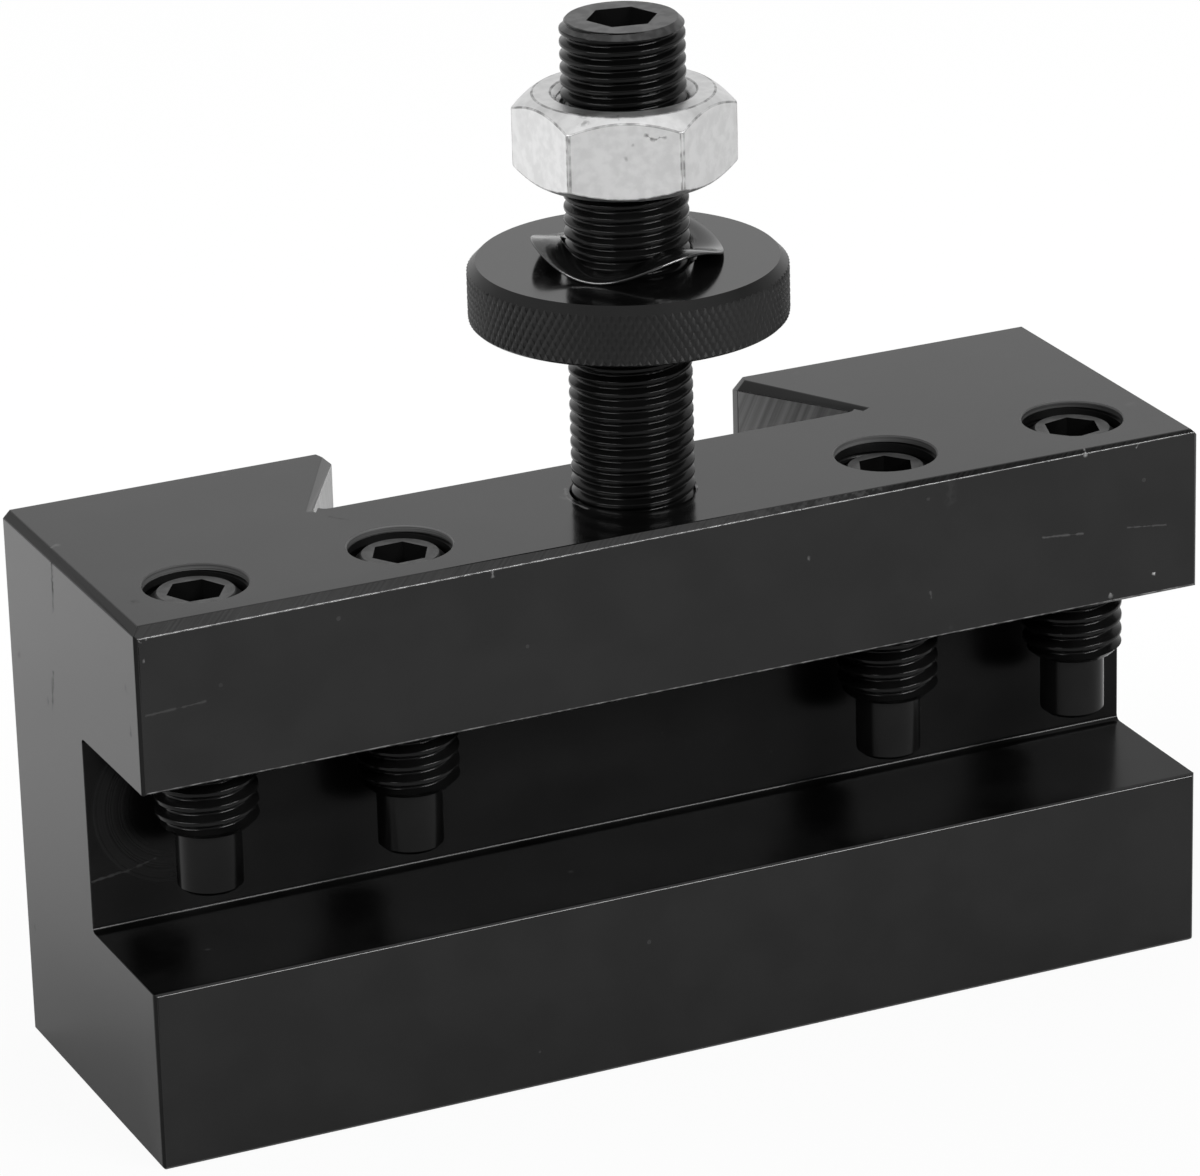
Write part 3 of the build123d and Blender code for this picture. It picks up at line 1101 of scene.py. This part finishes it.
class TOOLHOLDER_OT_height_stud(bpy.types.Operator):
    """Models the height stud with its fine thread and hex socket"""

    bl_idname = "toolholder.height_stud"
    bl_label = "Height stud"

    def execute(self, context):
        sizes = context.scene.height_stud_settings
        centre, radius = STUD_CENTRE, STUD_RADIUS
        over = 0.06 * MM
        envelope = turned_piece(
            "stud_envelope",
            [
                (0, STUD_LOW.z),
                (radius - sizes.end_chamfer, STUD_LOW.z),
                (radius + over, STUD_LOW.z + sizes.end_chamfer + over),
                (radius + over, STUD_HIGH.z - sizes.end_chamfer - over),
                (radius - sizes.end_chamfer, STUD_HIGH.z),
                (0, STUD_HIGH.z),
            ],
            centre,
            STUD_STEPS,
        )
        stud = threaded_rod(
            "stud_rod",
            sizes.pitch,
            radius,
            sizes.crest_width,
            STUD_ROOT,
            centre,
            STUD_LOW.z - OVERRUN,
            STUD_HIGH.z + OVERRUN,
            ARC_PARTS,
        )
        combine(stud, envelope, "INTERSECT")
        corner = math.radians(-10.2)
        cut_hex_socket(stud, sizes.socket_flats, corner, sizes.socket_depth, centre, STUD_HIGH.z)
        smooth(stud, 32)
        coat(
            stud,
            black_oxide("stud_black", roughness=0.16, shine=1.25, speckle=0.0),
            black_oxide("stud_end", turned_marks, 0.001 * MM, 0.4, wear=0.1, mark_shade=0.06),
            black_oxide("stud_rim", turned_marks, 0.001 * MM, 0.3, wear=0.06, shine=1.35, mark_shade=0.04),
        )
        for face in stud.data.polygons:
            if face.center.z > STUD_HIGH.z - sizes.end_chamfer and face.normal.z > 0.5:
                face.material_index = 1 if face.center.z > STUD_HIGH.z - TINY else 2
        dress(stud, "height_stud")
        return {"FINISHED"}


def bored_envelope(name, outside, bore, chamfer, centre, bottom, top):
    """A turned envelope with this outside, from bottom to top, and a bore countersunk at both ends."""
    mouth = bore + chamfer
    inside = [(mouth, top), (bore, top - chamfer), (bore, bottom + chamfer), (mouth, bottom)]
    return turned_piece(name, [(mouth, bottom), *outside, *inside], centre, NUT_STEPS)


def tap_bore(piece, centre, bore_radius, bottom, top):
    """Thread grooves in a nut's bore."""
    pitch = bpy.context.scene.height_stud_settings.pitch
    radius = bore_radius + NUT_TAP_GROOVE
    low, high = bottom - OVERRUN, top + OVERRUN
    tap = threaded_rod("nut_tap", pitch, radius, NUT_TAP_CREST, NUT_TAP_ROOT, centre, low, high)
    combine(piece, tap, "DIFFERENCE")


class TOOLHOLDER_OT_thumb_nut(bpy.types.Operator):
    """Models the thumb nut with its diamond knurl, chamfers and tapped bore"""

    bl_idname = "toolholder.thumb_nut"
    bl_label = "Thumb nut"

    def execute(self, context):
        sizes = context.scene.thumb_nut_settings
        centre = (THUMB_LOW + THUMB_HIGH) / 2
        radius = (THUMB_HIGH.x - THUMB_LOW.x) / 2
        bore = STUD_RADIUS + sizes.bore_clearance
        bottom, top = THUMB_LOW.z, THUMB_HIGH.z
        over = 0.1 * MM
        outside = [
            (radius - sizes.bottom_chamfer, bottom),
            (radius + over, bottom + sizes.bottom_chamfer + over),
            (radius + over, top - sizes.top_chamfer - over),
            (radius - sizes.top_chamfer, top),
        ]
        envelope = bored_envelope(
            "thumb_nut_envelope", outside, bore, sizes.bore_chamfer, centre, bottom, top
        )
        nut = self.knurled_bar(sizes, radius, centre, bottom, top)
        combine(nut, envelope, "INTERSECT")
        tap_bore(nut, centre, bore, bottom, top)
        coat(
            nut,
            black_oxide("ring_black", turned_marks, 0.0003 * MM, 0.1, shine=1.55),
            black_oxide("ring_knurl", roughness=0.38, shine=1.38),
            black_oxide("ring_chamfer", turned_marks, 0.001 * MM, 0.3, shine=1.32),
        )
        inner = radius - sizes.top_chamfer - sizes.knurl_depth
        level, slanting = 0.95, 0.68
        for face in nut.data.polygons:
            rise = abs(face.normal.z)
            if (face.center.xy - centre.xy).length > inner and rise < level:
                face.material_index = 1 if rise < slanting else 2
        self.soften_knurl(nut)
        dress(nut, "thumb_nut")
        return {"FINISHED"}

    def soften_knurl(self, nut):
        """Smooth shading that blurs the diamonds and keeps the turned edges sharp."""
        only(nut)
        bpy.ops.object.shade_smooth()
        knurl_turn, turned_turn = math.radians(50), math.radians(12)
        faces = {}
        for face in nut.data.polygons:
            for key in face.edge_keys:
                faces.setdefault(key, []).append(face)
        for edge in nut.data.edges:
            beside = faces[tuple(sorted(edge.vertices))]
            knurled = all(face.material_index == 1 for face in beside)
            turn = beside[0].normal.angle(beside[-1].normal)
            edge.use_edge_sharp = turn > (knurl_turn if knurled else turned_turn)

    def knurled_bar(self, sizes, radius, centre, bottom, top):
        """A bar with raised diamonds all round, a little longer than the nut."""
        count = sizes.knurl_count
        half_turn = math.pi / count
        step = 2 * radius * half_turn / math.tan(sizes.knurl_angle)
        rows = math.ceil((top - bottom) / step) + 1
        peak, blunting = 0.02 * MM, 0.13 * MM
        bpy.ops.object.select_all(action="DESELECT")
        bpy.ops.mesh.primitive_plane_add(size=2)
        bar = bpy.context.object
        enter_edit()
        select_mesh()
        bpy.ops.mesh.subdivide(number_cuts=1)
        select_mesh("DESELECT")
        leave_edit()
        for point in bar.data.vertices:
            point.select = abs(abs(point.co.x) - abs(point.co.y)) < 0.5
        enter_edit()
        bpy.ops.mesh.vert_connect()
        leave_edit()
        for point in bar.data.vertices:
            across, up = point.co.x, point.co.y
            out = radius + (-sizes.knurl_depth if abs(abs(across) - abs(up)) < 0.5 else peak)
            turn = across * half_turn
            point.co = (out * math.cos(turn), out * math.sin(turn), up * step / 2)
        modify(
            bar,
            "ARRAY",
            count=rows,
            use_relative_offset=False,
            use_constant_offset=True,
            constant_offset_displace=(0, 0, step),
            use_merge_vertices=True,
            merge_threshold=WELD,
        )
        edit(bar)
        bpy.ops.mesh.spin(
            steps=count - 1,
            dupli=True,
            angle=FULL_TURN * (count - 1) / count,
            center=(0, 0, 0),
            axis=(0, 0, 1),
        )
        select_mesh()
        bpy.ops.mesh.remove_doubles(threshold=WELD)
        select_mesh("DESELECT")
        leave_edit()
        for point in bar.data.vertices:
            on_end = point.co.z < -step * 0.4 or point.co.z > step * (rows - 0.6)
            point.select = point.co.xy.length > radius - sizes.knurl_depth / 2 and not on_end
        enter_edit()
        bpy.ops.mesh.bevel(offset=blunting, affect="VERTICES", clamp_overlap=True)
        select_mesh("DESELECT")
        bpy.ops.mesh.select_non_manifold()
        bpy.ops.mesh.edge_face_add()
        weld_and_face_out(TINY)
        middle = (bottom + top) / 2
        bpy.ops.transform.translate(value=(centre.x, centre.y, middle - (rows - 1) * step / 2))
        leave_edit()
        return bar


class TOOLHOLDER_OT_spring_washer(bpy.types.Operator):
    """Models the thin wave washer that lies on the thumb nut"""

    bl_idname = "toolholder.spring_washer"
    bl_label = "Spring washer"

    def execute(self, context):
        sizes = context.scene.spring_washer_settings
        inner = sizes.bore / 2
        outer = (WASHER_HIGH.x - WASHER_LOW.x) / 2
        thick = sizes.thickness
        soft = 0.08 * MM
        bottom = WASHER_LOW.z
        outline = [
            (inner + soft, bottom),
            ((inner + outer) / 2, bottom),
            (outer - soft, bottom),
            (outer, bottom + soft),
            (outer, bottom + thick - soft),
            (outer - soft, bottom + thick),
            ((inner + outer) / 2, bottom + thick),
            (inner + soft, bottom + thick),
            (inner, bottom + thick - soft),
            (inner, bottom + soft),
            (inner + soft, bottom),
        ]
        washer = turned_piece("washer_work", outline, (0, 0), WASHER_STEPS)
        height = WASHER_HIGH.z - WASHER_LOW.z - thick
        for point in washer.data.vertices:
            turn = math.atan2(point.co.y, point.co.x) - sizes.crest_azimuth
            point.co.z += height * (1 + math.cos(sizes.waves * turn)) / 2
        move_points(washer, (0, STUD_CENTRE.y, 0))
        smooth(washer, 50)
        # The lighter stroke on the crest on the left is a painted highlight
        black = black_oxide("spring_black", roughness=0.14, shine=1.9, light=CREST_PAINTED_HIGHLIGHT, speckle=0.0)
        coat(washer, black)
        dress(washer, "spring_washer")
        return {"FINISHED"}


class TOOLHOLDER_OT_lock_nut(bpy.types.Operator):
    """Models the hex lock nut with its bevels, countersinks and tapped bore"""

    bl_idname = "toolholder.lock_nut"
    bl_label = "Lock nut"

    def execute(self, context):
        sizes, finish = context.scene.lock_nut_settings, context.scene.finish_settings
        centre = STUD_CENTRE
        bottom, top = LOCK_LOW.z, LOCK_HIGH.z
        bore = STUD_RADIUS + context.scene.thumb_nut_settings.bore_clearance
        face = sizes.face_diameter / 2
        over = 0.5 * MM
        reach = sizes.across_flats / 2 / math.cos(math.pi / HEX_SIDES) + over
        low, high = bottom - OVERRUN, top + OVERRUN
        nut = hex_bar("lock_nut_bar", sizes.across_flats, sizes.corner_azimuth, centre, low, high)
        for edge in nut.data.edges:
            ends = [nut.data.vertices[index].co for index in edge.vertices]
            edge.select = abs(ends[0].z - ends[1].z) > MM
        for face_of_bar in nut.data.polygons:
            face_of_bar.select = False
        enter_edit()
        bpy.ops.mesh.select_mode(type="EDGE")
        bpy.ops.mesh.bevel(offset=sizes.corner_radius, segments=3, affect="EDGES")
        bpy.ops.mesh.select_mode(type="VERT")
        leave_edit()
        outside = [
            (face, bottom),
            (reach, bottom + (reach - face) * math.tan(sizes.bottom_bevel)),
            (reach, top - (reach - face) * math.tan(sizes.top_bevel)),
            (face, top),
        ]
        envelope = bored_envelope(
            "lock_nut_envelope", outside, bore, sizes.bore_chamfer, centre, bottom, top
        )
        combine(nut, envelope, "INTERSECT")
        coat(
            nut,
            self.zinc_plate("zinc_plate", finish.zinc, finish.zinc_stain, 0.33, 0.5),
            self.zinc_plate("zinc_edge", finish.zinc_stain, finish.zinc_dirt, 0.45, 0.7),
        )
        modify(
            nut,
            "BEVEL",
            limit_method="ANGLE",
            angle_limit=math.radians(20),
            width=0.13 * MM,
            segments=2,
            material=1,
            use_clamp_overlap=False,
        )
        tap_bore(nut, centre, bore, bottom, top)
        smooth(nut, 25, flat_first=True)
        dress(nut, "lock_nut")
        return {"FINISHED"}

    def zinc_plate(self, name, bright, dull, roughness, patchiness):
        """Bright zinc with a frosty mottle, dull patches, specks and a few dark scratches."""
        material, tree, shader, place = new_material(name, Metallic=1.0)
        clouds = effect(tree, "mottle", Vector=place, Patch=900.0, Grain=5000.0)
        wide = effect(tree, "mottle", Vector=place, Patch=250.0, Grain=2500.0)
        specks = effect(tree, "specks", Vector=place, Scale=700.0)["Specks"]
        base = mix_colour(tree, multiply(tree, clouds["Patches"], patchiness), bright, dull)
        dirt = multiply(tree, specks, 0.5)
        dirt = calculate(tree, "MAXIMUM", dirt, strokes(tree, place, ZINC_MARKS))
        base = mix_colour(tree, dirt, base, bpy.context.scene.finish_settings.zinc_dirt)
        rough = add(tree, multiply(tree, wide["Patches"], 0.1), roughness)
        frost = 0.004 * MM
        fine = multiply(tree, clouds["Fine"], frost)
        height = add(tree, fine, multiply(tree, clouds["Patches"], frost))
        set_surface(tree, shader, base, rough, height)
        return material


# Stage


class TOOLHOLDER_OT_studio(bpy.types.Operator):
    """Sets up the floor, the soft lights and the camera"""

    bl_idname = "toolholder.studio"
    bl_label = "Studio"

    def execute(self, context):
        settings = context.scene.studio_settings
        self.make_floor()
        self.make_world(context.scene)
        self.make_camera(context.scene, settings)
        for box in SOFTBOXES:
            self.make_box_light(context.scene, *box)
        view = context.scene.view_settings
        view.view_transform = "Standard"
        return {"FINISHED"}

    def make_floor(self):
        bpy.ops.object.select_all(action="DESELECT")
        bpy.ops.mesh.primitive_plane_add(size=FLOOR_SIZE)
        floor = bpy.context.object
        floor.name = "studio_floor"
        material = bpy.data.materials.new("studio_floor")
        material.use_nodes = True
        tree = material.node_tree
        tree.nodes.clear()
        out = tree.nodes.new("ShaderNodeOutputMaterial")
        place = tree.nodes.new("ShaderNodeTexCoord").outputs["Object"]
        # Painted shade: the floor's grey dips just by the block as a painted shadow
        y = add_node(tree, "SeparateXYZ", Vector=place).outputs[1]
        front = band(tree, y, *FLOOR_FRONT)
        shade = calculate(tree, "MAXIMUM", front, band(tree, y, *FLOOR_BACK))
        grey = add_node(tree, "CombineColor", Red=shade, Green=shade, Blue=shade)
        matt = add_node(tree, "BsdfDiffuse", Color=grey.outputs[0])
        white = add_node(tree, "Emission", Color=(1, 1, 1, 1), Strength=1.0)
        seen = tree.nodes.new("ShaderNodeLightPath").outputs["Is Camera Ray"]
        mix = tree.nodes.new("ShaderNodeMixShader")
        join(tree, multiply(tree, seen, FLOOR_WHITE_SHARE), mix.inputs[0])
        join(tree, matt.outputs[0], mix.inputs[1])
        join(tree, white.outputs[0], mix.inputs[2])
        join(tree, mix.outputs[0], out.inputs["Surface"])
        floor.data.materials.append(material)

    def make_world(self, scene):
        world = bpy.data.worlds.new("studio_world")
        scene.world = world
        world.use_nodes = True
        tree = world.node_tree
        tree.nodes.clear()
        out = tree.nodes.new("ShaderNodeOutputWorld")
        direction = tree.nodes.new("ShaderNodeTexCoord").outputs["Generated"]
        _, y, z = add_node(tree, "SeparateXYZ", Vector=direction).outputs
        path = tree.nodes.new("ShaderNodeLightPath")
        back = band(tree, y, *ROOM_BACK)
        lower = band(tree, z, *ROOM_LOWER)
        above = band(tree, z, *ROOM_ABOVE)
        room = calculate(tree, "MAXIMUM", multiply(tree, back, lower), above)
        room = calculate(tree, "MAXIMUM", room, path.outputs["Is Camera Ray"])
        sky = add_node(tree, "Background", Strength=1.0)
        colour_of_room = add_node(tree, "CombineColor", Red=room, Green=room, Blue=room)
        join(tree, colour_of_room.outputs[0], sky.inputs["Color"])
        join(tree, sky.outputs[0], out.inputs["Surface"])

    def make_camera(self, scene, settings):
        camera = bpy.data.objects.new("studio_camera", bpy.data.cameras.new("studio_camera"))
        scene.collection.objects.link(camera)
        a, e, r = settings.azimuth, settings.elevation, settings.roll
        back = Vector((math.sin(a) * math.cos(e), -math.cos(a) * math.cos(e), math.sin(e)))
        level = Vector((math.cos(a), math.sin(a), 0))
        rise = back.cross(level)
        right = math.cos(r) * level + math.sin(r) * rise
        up = math.cos(r) * rise - math.sin(r) * level
        place = Matrix((right, up, back)).transposed().to_4x4()
        place.translation = Vector(settings.target) + back * settings.distance
        camera.matrix_world = place
        camera.data.lens = settings.lens
        camera.data.sensor_width = SENSOR_WIDTH
        camera.data.clip_start = CLIP_START
        camera.data.clip_end = CLIP_END
        scene.camera = camera

    def make_box_light(self, scene, name, place, size, strength):
        data = bpy.data.lights.new(name, "AREA")
        data.shape = "RECTANGLE"
        data.size, data.size_y = size
        data.energy = strength
        light = bpy.data.objects.new(name, data)
        scene.collection.objects.link(light)
        light.location = place
        aim = Vector(LIGHT_TARGET) - Vector(place)
        light.rotation_euler = aim.to_track_quat("-Z", "Y").to_euler()


OPERATORS = (
    TOOLHOLDER_OT_block,
    TOOLHOLDER_OT_set_screws,
    TOOLHOLDER_OT_height_stud,
    TOOLHOLDER_OT_thumb_nut,
    TOOLHOLDER_OT_spring_washer,
    TOOLHOLDER_OT_lock_nut,
    TOOLHOLDER_OT_studio,
)


class TOOLHOLDER_PT_panel(bpy.types.Panel):
    """Lists the pieces of the tool holder"""

    bl_label = "Tool holder"
    bl_space_type = "VIEW_3D"
    bl_region_type = "UI"
    bl_category = "Tool holder"

    def draw(self, context):
        for operator in OPERATORS:
            self.layout.operator(operator.bl_idname)


def register():
    for settings in SETTINGS.values():
        bpy.utils.register_class(settings)
    for name, settings in SETTINGS.items():
        setattr(bpy.types.Scene, name, PointerProperty(type=settings))
    for kind in (*OPERATORS, TOOLHOLDER_PT_panel):
        bpy.utils.register_class(kind)


def unregister():
    for kind in (TOOLHOLDER_PT_panel, *reversed(OPERATORS)):
        bpy.utils.unregister_class(kind)
    for name in SETTINGS:
        delattr(bpy.types.Scene, name)
    for settings in reversed(SETTINGS.values()):
        bpy.utils.unregister_class(settings)


def main():
    register()
    make_effects()
    for operator in OPERATORS:
        group, action = operator.bl_idname.split(".")
        getattr(getattr(bpy.ops, group), action)()


if __name__ == "__main__":
    main()
